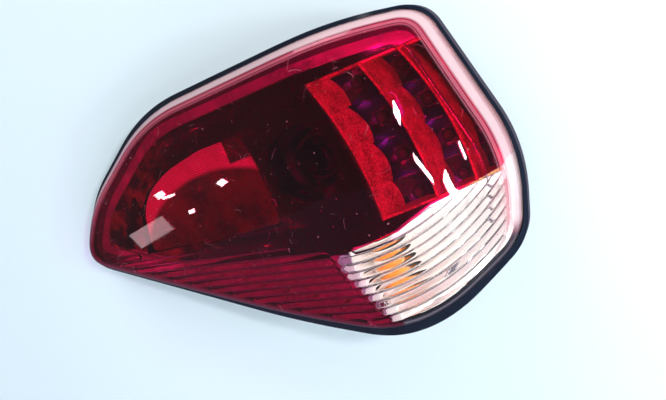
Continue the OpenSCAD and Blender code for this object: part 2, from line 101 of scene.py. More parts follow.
toward = Vector((math.sin(view_side) * math.cos(view_up),
                 -math.cos(view_side) * math.cos(view_up),
                 math.sin(view_up)))
level = Vector((math.cos(view_side), math.sin(view_side), 0))
upright = toward.cross(level)
camera_x = level * math.cos(view_turn) - upright * math.sin(view_turn)
camera_y = upright * math.cos(view_turn) + level * math.sin(view_turn)
camera_place = Vector((0, lens_front_y, 0)) + toward * view_distance
camera_place += (camera_x * move_right + camera_y * move_up) * MM
camera_data = bpy.data.cameras.new("photo_camera")
camera_data.sensor_width = 36
camera_data.lens = 45.95
camera = bpy.data.objects.new("photo_camera", camera_data)
bpy.context.scene.collection.objects.link(camera)
turned = Matrix((camera_x, camera_y, toward)).transposed().to_4x4()
camera.matrix_world = Matrix.Translation(camera_place) @ turned
bpy.context.scene.camera = camera
bpy.context.scene.view_settings.view_transform = "Standard"
print("camera at", [round(v, 3) for v in camera_place])

# %% [markdown]
# ## Shader maths
# A shader reads best as an expression. The Socket class below wraps one output socket, and its operators
# add the Math nodes. Colours and vectors go through Mix and Vector Math, because a Math node would turn
# them grey. Any other node comes from one method, which sets the node's own settings first and its
# sockets after them.

# %% Shader sockets


class Socket:
    """One output socket of a node tree, with Python's operators."""

    def __init__(self, tree, out):
        self.tree = tree
        self.out = out

    def node(self, kind, settings=None, **inputs):
        return add_node(self.tree, kind, settings, **inputs)

    def math(self, operation, other=0.5, first=None):
        a = self if first is None else first
        b = self if first is not None else other
        return self.node("ShaderNodeMath", {"operation": operation}, _0=a, _1=b)

    def __add__(self, other):
        return self.math("ADD", other)

    def __radd__(self, other):
        return self.math("ADD", first=other)

    def __sub__(self, other):
        return self.math("SUBTRACT", other)

    def __rsub__(self, other):
        return self.math("SUBTRACT", first=other)

    def __mul__(self, other):
        return self.math("MULTIPLY", other)

    def __rmul__(self, other):
        return self.math("MULTIPLY", first=other)

    def wave(self):
        """0 to 1 and back, once for each unit."""
        return (self * (2 * math.pi)).math("COSINE") * 0.5 + 0.5

    def size(self):
        return self.math("ABSOLUTE")

    def at_least(self, other):
        return self.math("MAXIMUM", other)

    def soft_least(self, other, reach):
        """The smaller of two values, with a rounded corner where they meet."""
        return self.node("ShaderNodeMath", {"operation": "SMOOTH_MIN"}, _0=self, _1=other, _2=reach)

    def ramp(self, low, high):
        """0 below low, 1 above high, smooth between."""
        settings = {"interpolation_type": "SMOOTHSTEP"}
        return self.node("ShaderNodeMapRange", settings, Value=self, From_Min=low, From_Max=high)


def add_node(tree, kind, settings=None, output=0, **inputs):
    """A node of one kind. _0 and _1 are sockets by number, and From_Min is the socket From Min."""
    node = tree.nodes.new(kind)
    for name, value in (settings or {}).items():
        setattr(node, name, value)
    for name, value in inputs.items():
        if value is None:
            continue
        socket = node.inputs[int(name[1:])] if name[0] == "_" else node.inputs[name.replace("_", " ")]
        if isinstance(value, Socket):
            tree.links.new(value.out, socket)
        else:
            socket.default_value = value
    return Socket(tree, node.outputs[output])


def blend(tree, factor, a, b):
    """Colour a where factor is 0 and b where it is 1."""
    return add_node(tree, "ShaderNodeMix", {"data_type": "RGBA"}, output=2, _0=factor, _6=a, _7=b)


def place_of(tree):
    """Object coordinates in millimetres: x, y, z as three sockets."""
    coords = add_node(tree, "ShaderNodeTexCoord", output="Object")
    split = add_node(tree, "ShaderNodeSeparateXYZ", _0=coords)
    return [Socket(tree, out) * (1 / MM) for out in split.out.node.outputs]


def speckle(tree, size_mm, detail=2, low=0.4, high=0.6):
    """Noise with features of size_mm, spread from 0 to 1."""
    coords = add_node(tree, "ShaderNodeTexCoord", output="Object")
    noise = add_node(tree, "ShaderNodeTexNoise", Vector=coords, Scale=1 / (size_mm * MM), Detail=detail)
    return noise.ramp(low, high)


def bump(tree, height, depth_mm, strength=1.0):
    """A normal from a height of 0 to 1 that stands for depth_mm."""
    return add_node(tree, "ShaderNodeBump", Height=height, Strength=strength, Distance=depth_mm * MM)


def ray(tree, kind):
    """1 for the rays of one kind, such as Camera or Shadow, and 0 for all others."""
    return add_node(tree, "ShaderNodeLightPath", output=f"Is {kind} Ray")


def new_material(name):
    material = bpy.data.materials.new(name)
    material.use_nodes = True
    tree = material.node_tree
    tree.nodes.clear()
    return material, tree


def finish_with(tree, shader):
    out = tree.nodes.new("ShaderNodeOutputMaterial")
    tree.links.new(shader.out, out.inputs["Surface"])


print("shader helper ready")

# %% [markdown]
# ## Stage
# The lamp lies before a pale table top, which in the lamp's own frame stands upright behind it, and a
# floor runs below. Both are pale and keep the lamp's shadow. To the camera and through glass they also
# shine a little of their own colour, so that the background stays pale without more light on the lamp. In
# a mirror they are a dimmer grey, because the lens is a mirror too, and the table that it lies on isn't
# bright in it. The table is there from its front only: seen from behind, and for the lamps that light the
# lamp's back, it is clear.

# %% Floor, table and world
paper = (0.93, 0.985, 1.0, 1)
table_gap = 0.002
table_y = corner("studs", 1).y * MM + table_gap
table_size = 2.4
floor_size = 8
floor_z = -0.34


def seen_directly(tree):
    """1 for rays from a camera, a mirror or glass, 0 for the rays that light the lamp."""
    return ray(tree, "Camera").at_least(ray(tree, "Glossy")).at_least(ray(tree, "Transmission"))


def pale_stage(name, one_sided):
    """A matt finish with a faint glow. If one_sided, it is clear from behind and to the lamps' light."""
    material, tree = new_material(name)
    matt = add_node(tree, "ShaderNodeBsdfDiffuse", Color=(0.68, 0.78, 0.84, 1))
    glow = add_node(tree, "ShaderNodeEmission", Color=paper, Strength=0.15)
    dark = add_node(tree, "ShaderNodeEmission", Color=(0, 0, 0, 1), Strength=0.0)
    shine = add_node(tree, "ShaderNodeMixShader", _0=seen_directly(tree), _1=dark, _2=glow)
    surface = add_node(tree, "ShaderNodeAddShader", _0=matt, _1=shine)
    dim = add_node(tree, "ShaderNodeEmission", Color=(0.5, 0.45, 0.6, 1), Strength=0.35)
    surface = add_node(tree, "ShaderNodeMixShader", _0=ray(tree, "Glossy"), _1=surface, _2=dim)
    if one_sided:
        behind = add_node(tree, "ShaderNodeNewGeometry", output="Backfacing").at_least(ray(tree, "Shadow"))
        clear = add_node(tree, "ShaderNodeBsdfTransparent")
        surface = add_node(tree, "ShaderNodeMixShader", _0=behind, _1=surface, _2=clear)
    finish_with(tree, surface)
    return material


def stage_plane(name, size, place, turn, one_sided):
    bpy.ops.mesh.primitive_plane_add(size=size, location=place, rotation=turn)
    plane = bpy.context.object
    plane.name = name
    plane.data.materials.append(pale_stage(name + "_finish", one_sided))
    deselect()


stage_plane("table", table_size, (0, table_y, 0), (math.pi / 2, 0, 0), True)
stage_plane("floor", floor_size, (0, 0, floor_z), (0, 0, 0), False)

world = bpy.data.worlds.new("studio")
world.use_nodes = True
bpy.context.scene.world = world
tree = world.node_tree
tree.nodes.clear()
lit = add_node(tree, "ShaderNodeBackground", Color=(0.88, 0.95, 1.0, 1), Strength=0.4)
mirrored = add_node(tree, "ShaderNodeBackground", Color=(0.95, 0.9, 1.0, 1), Strength=0.14)
shown = add_node(tree, "ShaderNodeBackground", Color=paper, Strength=0.9)
sky = add_node(tree, "ShaderNodeMixShader", _0=ray(tree, "Glossy"), _1=lit, _2=mirrored)
sky = add_node(tree, "ShaderNodeMixShader", _0=ray(tree, "Camera"), _1=sky, _2=shown)
tree.links.new(sky.out, tree.nodes.new("ShaderNodeOutputWorld").inputs["Surface"])
print("table at y =", round(table_y, 3))

# %% [markdown]
# ## Light
# A large soft panel stands behind the camera, above the lamp, as a ceiling light does. A second one
# lights the lamp's back, and a third its tall edge. The lens also mirrors small bright panes, which stand
# where the photograph's white reflections need them: each lies along the mirrored line of sight from the
# spot on the lens where it shows.

# %% Lamps


def panel(name, place, aim, width, height, watts, colour=(1, 1, 1)):
    data = bpy.data.lights.new(name, "AREA")
    data.shape = "RECTANGLE"
    data.size = width
    data.size_y = height
    data.energy = watts
    data.color = colour
    lamp = bpy.data.objects.new(name, data)
    bpy.context.scene.collection.objects.link(lamp)
    lamp.location = place
    lamp.rotation_euler = (Vector(aim) - Vector(place)).to_track_quat("-Z", "Y").to_euler()
    return lamp


middle = Vector((-0.06, -0.09, 0))
panel("ceiling_panel", Vector((-0.15, -1.0, 1.75)), middle, 1.4, 0.9, 14.5, (0.94, 0.99, 1.0))
panel("back_panel", Vector((-0.5, 1.5, 0.9)), middle, 1.2, 0.8, 14)
panel("edge_panel", Vector((1.2, 0.35, 0.3)), middle, 0.6, 1.0, 3, (1, 0.98, 0.97))


glint_distance = 1000


def glint(name, spot, away, width, height, strength, tilt=0):
    """A small pane that is mirrored at one spot of the lens, where away is the mirrored line of sight.

    A strength of 1 is as bright as white paper, and tilt turns the pane in its own plane.
    """
    place = (Vector(spot) + Vector(away) * glint_distance) * MM
    lamp = panel(name, place, Vector(spot) * MM, width, height, strength * math.pi * width * height)
    lamp.rotation_euler.rotate_axis("Z", math.radians(tilt))


glint("pane_tip", (-160, -67, 44), (-0.94, -0.35, 0.067), 0.018, 0.018, 22, 20)
glint("pane_tip_2", (-152, -70, 41), (-0.94, -0.36, 0.057), 0.026, 0.008, 22)
glint("pane_low", (-140, -74, 25), (-0.93, -0.383, 0.008), 0.012, 0.012, 22)
glint("pane_middle", (-91, -91, 39), (-0.91, -0.417, 0.042), 0.016, 0.018, 22, 30)
glint("pane_soft", (-163, -66, 8), (-0.94, -0.31, 0.009), 0.075, 0.05, 3, 15)
glint("lamp_front", (45, -120, 40), (0.54, -0.84, 0.06), 0.07, 0.05, 430, 30)
glint("pane_slash", (76, -110, -10), (0.56, -0.82, -0.08), 0.16, 0.03, 90, -35)
glint("pane_corner", (87, -104, -16), (0.74, -0.65, -0.15), 0.1, 0.08, 90, 20)
glint("pane_side", (96, -99, -4), (0.93, -0.33, -0.08), 0.03, 0.05, 90, 10)
glint("pane_window", (66, -114, -92), (0.49, -0.78, -0.39), 0.1, 0.14, 30, 25)

# %% [markdown]
# ## Finishes
# Every slot of the record gets one material. The lens is real glass to the camera, and clear red film to
# the rays that look for a lamp, so that light reaches the tray behind it without noise. Towards the top
# and the tall side the red shot thins out near the edge, and a pale frosted layer there is painted
# reflection, standing for the pale surroundings mirrored in the rolled edge. Together they show as pale
# bands along it. They follow two values that are painted on the lens's points once it is modelled:
# margin and side. Scratches and dust are thin slices and high tops of noise.

# %% Lens finishes
red_dye = (0.77, 0.006, 0.13, 1)
clear_dye = (0.99, 0.985, 0.98, 1)
bulb_dye = (0.97, 0.97, 0.97, 1)
# The pink of the painted reflection in the lens margin.
pink_painted_reflection = (0.8, 0.22, 0.3, 1)
acrylic_ior = 1.49


margin_unit = 50


def painted(tree, name):
    """A value that is painted on the points of a mesh."""
    return add_node(tree, "ShaderNodeAttribute", {"attribute_name": name}, output="Fac")


def margin_shade(tree):
    """How frosted and how pale the lens is, in bands by the millimetres in from its edge. The frosted part
    is scratches, dust and a painted reflection along the edge that faces up and to the tall side.
    """
    margin = painted(tree, "margin") * margin_unit
    side = painted(tree, "side").ramp(0.05, 0.6)
    pale = (1 - margin.ramp(4.6, 6.4)) * side
    blush = (1 - margin.ramp(9.0, 11.0)) * side * 0.4
    line = 1 - (margin - 6.3).size().ramp(0.15, 0.55)
    second = (1 - (margin - 9.0).size().ramp(0.1, 0.5)) * 0.4
    outer = (1 - margin.ramp(0.6, 1.2)) * 0.5
    # The frosted mask is painted reflection in the pale bands; real scratches and dust are added to it
    # below.
    frost_and_painted_reflection = ((pale * 0.68).at_least(blush) - line * 0.5 - second - outer).at_least(0)
    scratch = 1 - (speckle(tree, 16, 0, 0, 1) - 0.5).size().ramp(0.001, 0.008)
    scratch = scratch * speckle(tree, 24, 1, 0.6, 0.64)
    dust = speckle(tree, 2.2, 0, 0.83, 0.88)
    return frost_and_painted_reflection.at_least((scratch + dust) * 0.4), pale


def glassy(name, dye, film, roughness=0.0, edge_dye=None):
    """Clear or dyed acrylic. film colours the lamps' light, and edge_dye is the pale margin's colour."""
    material, tree = new_material(name)
    colour = dye
    if edge_dye:
        frost_and_painted_reflection, pale = margin_shade(tree)
        colour = blend(tree, pale, dye, edge_dye)
    fine = speckle(tree, 38, 3, 0.35, 0.75) * 0.05 + roughness
    body = add_node(tree, "ShaderNodeBsdfPrincipled", Base_Color=colour, Roughness=fine, IOR=acrylic_ior,
                    Transmission_Weight=1.0)
    thin = add_node(tree, "ShaderNodeBsdfTransparent", Color=film)
    if edge_dye:
        # The frosted layer is opaque pale pink: painted reflection of the pale surroundings in the rolled
        # edge.
        painted_reflection_colour = blend(tree, pale, pink_painted_reflection, edge_dye)
        painted_reflection_layer = add_node(tree, "ShaderNodeBsdfPrincipled", Base_Color=painted_reflection_colour, Roughness=0.22, Coat_Weight=0.8)
        body = add_node(tree, "ShaderNodeMixShader", _0=frost_and_painted_reflection, _1=body, _2=painted_reflection_layer)
        pale_thin = add_node(tree, "ShaderNodeBsdfTransparent", Color=edge_dye)
        thin = add_node(tree, "ShaderNodeMixShader", _0=pale, _1=thin, _2=pale_thin)
    finish_with(tree, add_node(tree, "ShaderNodeMixShader", _0=ray(tree, "Shadow"), _1=body, _2=thin))
    return material


lens_red = glassy("lens_red", red_dye, (0.9, 0.05, 0.92, 1), edge_dye=(0.88, 0.66, 0.68, 1))
lens_clear = glassy("lens_clear", clear_dye, bulb_dye, edge_dye=(0.95, 0.84, 0.84, 1))
bulb_glass = glassy("bulb_glass", bulb_dye, bulb_dye)
print("glassy finishes:", lens_red.name, lens_clear.name, bulb_glass.name)

# %% [markdown]
# The opaque finishes are one function with a few settings: a colour, a roughness, a speckle that varies
# both, and a fine grain in the normal. Polished plastic has next to no grain, and glass-filled nylon has
# much. The housing has a function of its own, because its rim is polished and its back is grained: the
# way that a face looks tells them apart.

# %% Opaque finishes


spot_mm = 14


def solid_finish(name, colour, roughness, metal=0.0, vary=0.1, grain_mm=0.4, grain_depth=0.0, coat=0.0):
    material, tree = new_material(name)
    spots = speckle(tree, spot_mm, 4, 0.3, 0.7)
    darker = tuple(c * (1 - vary) for c in colour[:3]) + (1,)
    base = blend(tree, spots, darker, colour + (1,))
    rough = (spots - 0.5) * (vary * 0.6) + roughness
    normal = bump(tree, speckle(tree, grain_mm, 1, 0.2, 0.8), grain_depth) if grain_depth else None
    body = add_node(tree, "ShaderNodeBsdfPrincipled", Base_Color=base, Roughness=rough, Metallic=metal,
                    Normal=normal, Coat_Weight=coat, Coat_Roughness=0.03)
    finish_with(tree, body)
    return material


def housing_finish():
    """Polished navy-black on the rim, and a grained, duller black on the faces that look to the back."""
    material, tree = new_material("rim_black")
    facing = add_node(tree, "ShaderNodeNewGeometry", output="Normal")
    back = add_node(tree, "ShaderNodeSeparateXYZ", output="Y", _0=facing).ramp(0.2, 0.6)
    spots = speckle(tree, spot_mm, 4, 0.3, 0.7)
    polished = blend(tree, spots, (0.002, 0.007, 0.017, 1), (0.004, 0.011, 0.025, 1))
    grained = blend(tree, spots, (0.018, 0.02, 0.024, 1), (0.03, 0.032, 0.037, 1))
    normal = bump(tree, speckle(tree, 0.8, 1, 0.2, 0.8) * back, 0.06)
    base = blend(tree, back, polished, grained)
    rough = back * 0.35 + spots * 0.04 + 0.08
    body = add_node(tree, "ShaderNodeBsdfPrincipled", Base_Color=base, Roughness=rough,
                    Coat_Weight=(1 - back) * 0.8, Normal=normal)
    finish_with(tree, body)
    return material


rim_black = housing_finish()
wavy = {"grain_mm": 9, "grain_depth": 0.05}
mirror_coat = solid_finish("mirror_coat", (0.9, 0.9, 0.92), 0.1, metal=1.0, vary=0.06, **wavy)
bezel_coat = solid_finish("bezel_coat", (0.012, 0.0015, 0.004), 0.2, vary=0.3, coat=0.5)
reflex_coat = solid_finish("reflex_coat", (0.62, 0.01, 0.04), 0.15, vary=0.15)
nylon = solid_finish("nylon", (0.06, 0.06, 0.064), 0.55, vary=0.25, grain_mm=0.5, grain_depth=0.05)
rubber = solid_finish("rubber", (0.018, 0.018, 0.018), 0.7, vary=0.3, grain_mm=0.6, grain_depth=0.04)
butyl = solid_finish("butyl", (0.02, 0.02, 0.022), 0.4, vary=0.3, grain_mm=2, grain_depth=0.1)
foam = solid_finish("foam", (0.03, 0.03, 0.031), 0.95, vary=0.4, grain_mm=0.8, grain_depth=0.2)
screw_metal = solid_finish("screw_metal", (0.5, 0.42, 0.46), 0.35, metal=0.6, vary=0.2)
stud_metal = solid_finish("stud_metal", (0.66, 0.58, 0.34), 0.32, metal=1.0, vary=0.25)
blade_metal = solid_finish("blade_metal", (0.75, 0.72, 0.66), 0.25, metal=1.0, vary=0.1)
board_coat = solid_finish("board_coat", (0.015, 0.1, 0.05), 0.35, vary=0.2)
bulb_amber = solid_finish("bulb_amber", (0.95, 0.25, 0.02), 0.1, vary=0.15, coat=0.8)
led_epoxy = solid_finish("led_epoxy", (0.1, 0.03, 0.1), 0.1, vary=0.1, coat=0.6)

SLOT_FINISH = {
    "red_lens": lens_red, "clear_lens": lens_clear, "sealant": butyl, "housing_black": rim_black,
    "bezel_dark": bezel_coat, "mirror_coating": mirror_coat, "reflex_red": reflex_coat,
    "bulb_clear": bulb_glass, "bulb_amber": bulb_amber, "socket_grey": nylon, "seal_rubber": rubber,
    "screw_steel": screw_metal, "stud_zinc": stud_metal, "foam": foam, "pin_brass": blade_metal,
    "board_green": board_coat, "led_body": led_epoxy,
}
node_slot = {row["node"]: row["material_slot"] for row in frame["record"]["subparts"]}
for name, obj in frame["nodes"].items():
    obj.data.materials.clear()
    obj.data.materials.append(SLOT_FINISH[node_slot[name]])
signal_coat = solid_finish("signal_coat", (0.95, 0.93, 0.9), 0.3, metal=0.2, vary=0.06, **wavy)
frame["nodes"]["signal_reflector"].data.materials[0] = signal_coat
# The brake bowl's mirror coat is a dark purple-grey: painted shade that keeps the bowl dim.
brake_painted_shade = solid_finish("brake_painted_shade", (0.3, 0.22, 0.3), 0.15, metal=1.0, vary=0.3, **wavy)
frame["nodes"]["brake_reflector"].data.materials[0] = brake_painted_shade
print("finishes:", len(SLOT_FINISH))

# %% [markdown]
# ## Laying a skin on rows of points
# Most pieces of a lamp are skins: the lens, the flutes, the tray. A grid primitive has its points in
# rows, so it can be laid over rows of points that a formula gives, like cloth over a form. Where rows
# meet, as round a tube, the doubled points are merged. Solidify then gives the skin its wall, and Boolean
# joins or cuts closed pieces.

# %% Skins, walls and joins


def in_edit(obj, *steps):
    """Run edit-mode operators on all of obj. Each step is (operator, settings)."""
    pick(obj)
    bpy.ops.object.mode_set(mode="EDIT")
    bpy.ops.mesh.select_all(action="SELECT")
    for operator, settings in steps:
        operator(**settings)
    bpy.ops.object.mode_set(mode="OBJECT")


def woven(name, rows, merge=True):
    """A grid laid on rows of points in millimetres."""
    bpy.ops.mesh.primitive_grid_add(x_subdivisions=len(rows[0]) - 1, y_subdivisions=len(rows) - 1, size=1)
    piece = bpy.context.object
    piece.name = name
    piece.data.name = name
    points = [p for row in rows for p in row]
    for vertex, point in zip(piece.data.vertices, points, strict=True):
        vertex.co = Vector(point) * MM
    if merge:
        in_edit(piece, (bpy.ops.mesh.remove_doubles, {"threshold": 1e-6}))
    deselect()
    return piece


def use(obj, kind, **settings):
    """Add a modifier and apply it."""
    pick(obj)
    modifier = obj.modifiers.new(kind.lower(), kind)
    for name, value in settings.items():
        setattr(modifier, name, value)
    bpy.ops.object.modifier_apply(modifier=modifier.name)
    deselect()


def boolean(obj, other, operation, keep=False):
    use(obj, "BOOLEAN", operation=operation, solver="EXACT", object=other)
    if not keep:
        bpy.data.objects.remove(other)


def twin(obj, name):
    copy = obj.copy()
    copy.data = obj.data.copy()
    copy.name = name
    copy.data.name = name
    bpy.context.scene.collection.objects.link(copy)
    return copy


def face_out(obj):
    in_edit(obj, (bpy.ops.mesh.normals_make_consistent, {"inside": False}))


def smooth(obj, degrees):
    pick(obj)
    bpy.ops.object.shade_smooth_by_angle(angle=math.radians(degrees))
    deselect()


def dress(obj, slot, *nodes, finish=None):
    """The last step of a piece: its finish, what it stands for, and the body that it rides on."""
    obj.data.materials.clear()
    obj.data.materials.append(finish or SLOT_FINISH[slot])
    if nodes:
        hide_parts(*nodes)
    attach(obj, "root")
    deselect()
    tris = sum(len(p.vertices) - 2 for p in obj.data.polygons)
    print(obj.name, "has", tris, "triangles")


def pull_back(obj, distance):
    """Extrude an open skin along +Y into a closed piece. distance is in millimetres."""
    pull = {"TRANSFORM_OT_translate": {"value": (0, distance * MM, 0)}}
    everything = (bpy.ops.mesh.select_all, {"action": "SELECT"})
    in_edit(obj, (bpy.ops.mesh.extrude_region_move, pull), everything)
    face_out(obj)


def slab(name, outline, y0, y1):
    """An outline of (x, z) points filled and pulled along y, in millimetres."""
    bpy.ops.mesh.primitive_circle_add(vertices=len(outline), fill_type="NGON")
    piece = bpy.context.object
    piece.name = name
    for vertex, (x, z) in zip(piece.data.vertices, outline, strict=True):
        vertex.co = Vector((x, y0, z)) * MM
    pull_back(piece, y1 - y0)
    deselect()
    return piece


print("modelling helper ready")

# %% [markdown]
# ## The form of the lens
# Seen from above, the lens runs straight to its tip, bends round the car's corner on a 110 mm radius and
# runs straight down the tall side. Seen square on, it has nine corners, each blended by a curve. Those
# two curves and a slight crown make the whole form, and every optic behind it follows them, so they are
# functions of the drawing's own few sizes. A print of the outline's reach lets it be compared with the
# CAD box.

# %% Plan and outline of the lens
lens_front = 125
bend_radius = 110
bend_middle = 24.74
tip_slope = math.tan(math.radians(19))
side_slope = math.tan(math.radians(50))
bend_from = bend_middle - bend_radius * math.sin(math.radians(18))
bend_to = bend_middle + bend_radius * math.sin(math.radians(49))
lens_thick = 2.6
crown_rate = 7 / 120 ** 2
roll_depth = 11
foot_depth = 28
lens_middle = Vector((-60, 5))
LENS_CORNERS = [
    (-293, 20, 30), (-251, 70, 30), (-151, 120, 44), (50, 116, 32), (103, 107, 17),
    (127, -16, 36), (109, -75, 16), (24, -112, 52), (-80, -75, 44),
]


def sag(x):
    """How far the bend has swept back at x."""
    inside = min(max(x, bend_from), bend_to)
    arc = bend_radius - math.sqrt(bend_radius ** 2 - (inside - bend_middle) ** 2)
    return arc + (bend_from - x) * tip_slope * (x < bend_from) + (x - bend_to) * side_slope * (x > bend_to)


def plan(x):
    return sag(x) - lens_front


def rounded(corners, steps=24):
    """Corners (x, z, blend) joined by straights and parabolic blends, as dense points."""
    points = []
    for i, (x, z, reach) in enumerate(corners):
        here = Vector((x, z))
        before = Vector(corners[i - 1][:2])
        after = Vector(corners[(i + 1) % len(corners)][:2])
        start = here + (before - here).normalized() * reach
        end = here + (after - here).normalized() * reach
        for k in range(steps + 1):
            t = k / steps
            points.append(start * (1 - t) ** 2 + here * 2 * t * (1 - t) + end * t * t)
    return points


def even(points, count):
    """The closed line of points, cut into count equal lengths."""
    closed = points + [points[0]]
    lengths = [(b - a).length for a, b in zip(closed, closed[1:])]
    step = sum(lengths) / count
    found, run, k = [], 0.0, 0
    for i in range(count):
        target = i * step
        while run + lengths[k] < target:
            run += lengths[k]
            k += 1
        found.append(closed[k].lerp(closed[k + 1], (target - run) / lengths[k]))
    return found


lens_points = 400
lens_line = even(rounded(LENS_CORNERS), lens_points)


def outward(line, i):
    along = (line[(i + 1) % len(line)] - line[i - 1]).normalized()
    return Vector((-along.y, along.x))


def inset(line, distance):
    return [p - outward(line, i) * distance for i, p in enumerate(line)]


def skin_y(x, z):
    """Front of the lens at x, z, away from its rolled edge."""
    return plan(x) + crown_rate * z * z


reach_x = [round(pick_end(p.x for p in lens_line), 1) for pick_end in (min, max)]
print("lens outline:", reach_x, "mm, in the CAD:", round(corner("outer_lens", 0).x, 1))

# %% [markdown]
# ## The lens
# The real lens is moulded in two shots: red acrylic, with a clear window for the signal lamps, and a
# paler margin where the red shot thins out towards the top and the tall side; that margin's pale look is
# partly painted reflection. Its skin starts at the foot that sits in the housing's channel, rolls over the
# edge and closes at the middle in rings. Solidify gives the 2.6 mm wall.

# %% Lens shell
roll_rings = 10
inner_rings = 24


def roll_drop(e):
    return roll_depth * (1 - math.sqrt(max(0, 1 - ((roll_depth - e) / roll_depth) ** 2)))


def lens_rows():
    rows = [[(p.x, plan(p.x) + foot_depth, p.y) for p in lens_line]]
    for k in range(roll_rings + 1):
        e = roll_depth * (1 - math.cos(math.pi / 2 * k / roll_rings))
        rows.append([(p.x, skin_y(p.x, p.y) + roll_drop(e), p.y) for p in inset(lens_line, e)])
    edge = inset(lens_line, roll_depth)
    for k in range(1, inner_rings + 1):
        ring = [lens_middle.lerp(p, 1 - k / inner_rings) for p in edge]
        rows.append([(p.x, skin_y(p.x, p.y), p.y) for p in ring])
    return [row + row[:1] for row in rows]


shell = woven("lens_shell", lens_rows())
face_out(shell)
use(shell, "SOLIDIFY", thickness=lens_thick * MM, offset=-1, use_even_offset=True, use_quality_normals=True)
print("shell:", len(shell.data.polygons), "faces")

# %% [markdown]
# The window's left end is scalloped, one bulge for each flute, because the clear shot ends where its
# flutes do. The cutter is that outline pulled through the lens: the red lens loses it, and the window
# keeps only what is inside.

# %% Window and red lens
flute_pitch = 6.2
flute_first_z = -41
flute_count = 9
FLUTE_RISE = (0.6, 0.08)
window_corner = -11
arc_steps = 8
bulge_fill = 0.96


def window_left(z):
    """Where the window starts at height z."""
    return window_corner + max(0, -z - 48) * 0.5


def flute_z(start, x):
    """Height at x of the flute that has height start at the window's upper left corner."""
    by_sag, by_x = FLUTE_RISE
    return start + by_sag * (sag(x) - sag(window_corner)) + by_x * (x - window_corner)


def window_outline():
    points = [(-11, -36.5), (39, -33), (66, -24), (114, -20), (160, 8), (160, -140), (16, -140), (14, -98)]
    starts = [flute_first_z - flute_pitch * k for k in range(flute_count)]
    for start in reversed(starts):
        x = window_left(start)
        for k in range(arc_steps + 1):
            turn = math.pi * (0.5 - k / arc_steps)
            z = flute_z(start, x) - flute_pitch / 2 * math.sin(turn) * bulge_fill
            points.append((x - flute_pitch / 2 * math.cos(turn), z))
    return points


cutter = slab("window_cutter", window_outline(), -180, 60)
red_lens = twin(shell, "lens")
boolean(red_lens, cutter, "DIFFERENCE", keep=True)
window = shell
window.name = "window"
boolean(window, cutter, "INTERSECT")
print("red lens:", len(red_lens.data.polygons), "faces, window:", len(window.data.polygons))

# %% [markdown]
# Flutes are half-round rods on the inner face, 6.2 mm apart. Each follows the bend and climbs a little as
# it sweeps back. One rod is a grid rolled round a curve and closed at both ends in a small dome. The rods
# that lie inside the window join it, and those further left join the red lens, where they light up as
# pink bars. At the end, each point of the lens is painted with its distance from the edge and with the
# way that the edge faces there, for the pale bands and the painted reflection in them.

# %% Flutes
flute_high = 1.5
flute_sunk = 1.0
flute_gap = 0.15
flute_station = 2.5
shortest_flute = 9
lens_rim = 7.5
WINDOW_FIELD = [
    (-12, -36), (39, -35), (66, -27), (114, -23), (122, 0), (117, -24), (108, -70), (100, -140), (-12, -140),
]
RED_FIELD = [
    (-262, 22), (-241, 16), (-157, -3), (-83, -18), (-18, -29), (-16, -36), (-14, -50), (-5, -68), (12, -97),
    (0, -140), (-300, -40),
]


def inside(outline, x, z):
    """Whether x, z lies inside the outline, by counting crossings."""
    odd = False
    for (x0, z0), (x1, z1) in zip(outline, outline[1:] + outline[:1]):
        if (z0 > z) != (z1 > z) and x < x0 + (z - z0) / (z1 - z0) * (x1 - x0):
            odd = not odd
    return odd


def flute_rod(name, start, x0, x1):
    stations = max(8, int((x1 - x0) / flute_station))
    half = (flute_pitch - flute_gap) / 2
    rows = []
    for k in range(stations + 1):
        t = k / stations
        x = x0 + (x1 - x0) * t
        ends = min(k, stations - k) * (x1 - x0) / stations
        grown = math.sqrt(max(0.0, 1 - max(0.0, 1 - ends / half) ** 2))
        z = flute_z(start, x)
        slope = sag(x + 0.5) - sag(x - 0.5)
        into = Vector((-slope, 1)).normalized()
        row = []
        for j in range(arc_steps + 1):
            turn = math.pi * j / arc_steps
            deep = math.sin(turn) * flute_high * grown
            row.append((x, deep, z + math.cos(turn) * half * grown))
        row += [(x, -flute_sunk * grown, z + foot * half * 0.9 * grown) for foot in (-1, 1)]
        placed = []
        for px, deep, pz in row:
            y = skin_y(x, pz) + lens_thick * math.sqrt(1 + slope * slope)
            placed.append((px + into.x * deep, y + into.y * deep, pz))
        rows.append(placed + placed[:1])
    rod = woven(name, rows)
    face_out(rod)
    return rod


def join(name, pieces):
    """Join pieces into the first one, under a new name."""
    pick(pieces[0])
    for piece in pieces:
        piece.select_set(True)
    bpy.ops.object.join()
    joined = bpy.context.object
    joined.name = name
    joined.data.name = name
    deselect()
    return joined


def flutes_in(name, field, x0, x1):
    """One rod for each flute line that crosses the field, joined as one object."""
    border = [(p.x, p.y) for p in inset(lens_line, lens_rim)]
    rods = []
    for k in range(-24, flute_count + 9):
        start = flute_first_z - flute_pitch * k
        line = [(x, flute_z(start, x)) for x in range(x0, x1)]
        hits = [x for x, z in line if inside(field, x, z) and inside(border, x, z)]
        if len(hits) > shortest_flute:
            rods.append(flute_rod(f"flute_{k}", start, hits[0], hits[-1]))
    print(name, "has", len(rods), "flutes")
    return join(name + "_flutes", rods)


boolean(window, flutes_in("window", WINDOW_FIELD, -14, 124), "UNION")
boolean(red_lens, flutes_in("red_lens", RED_FIELD, -285, 14), "UNION")


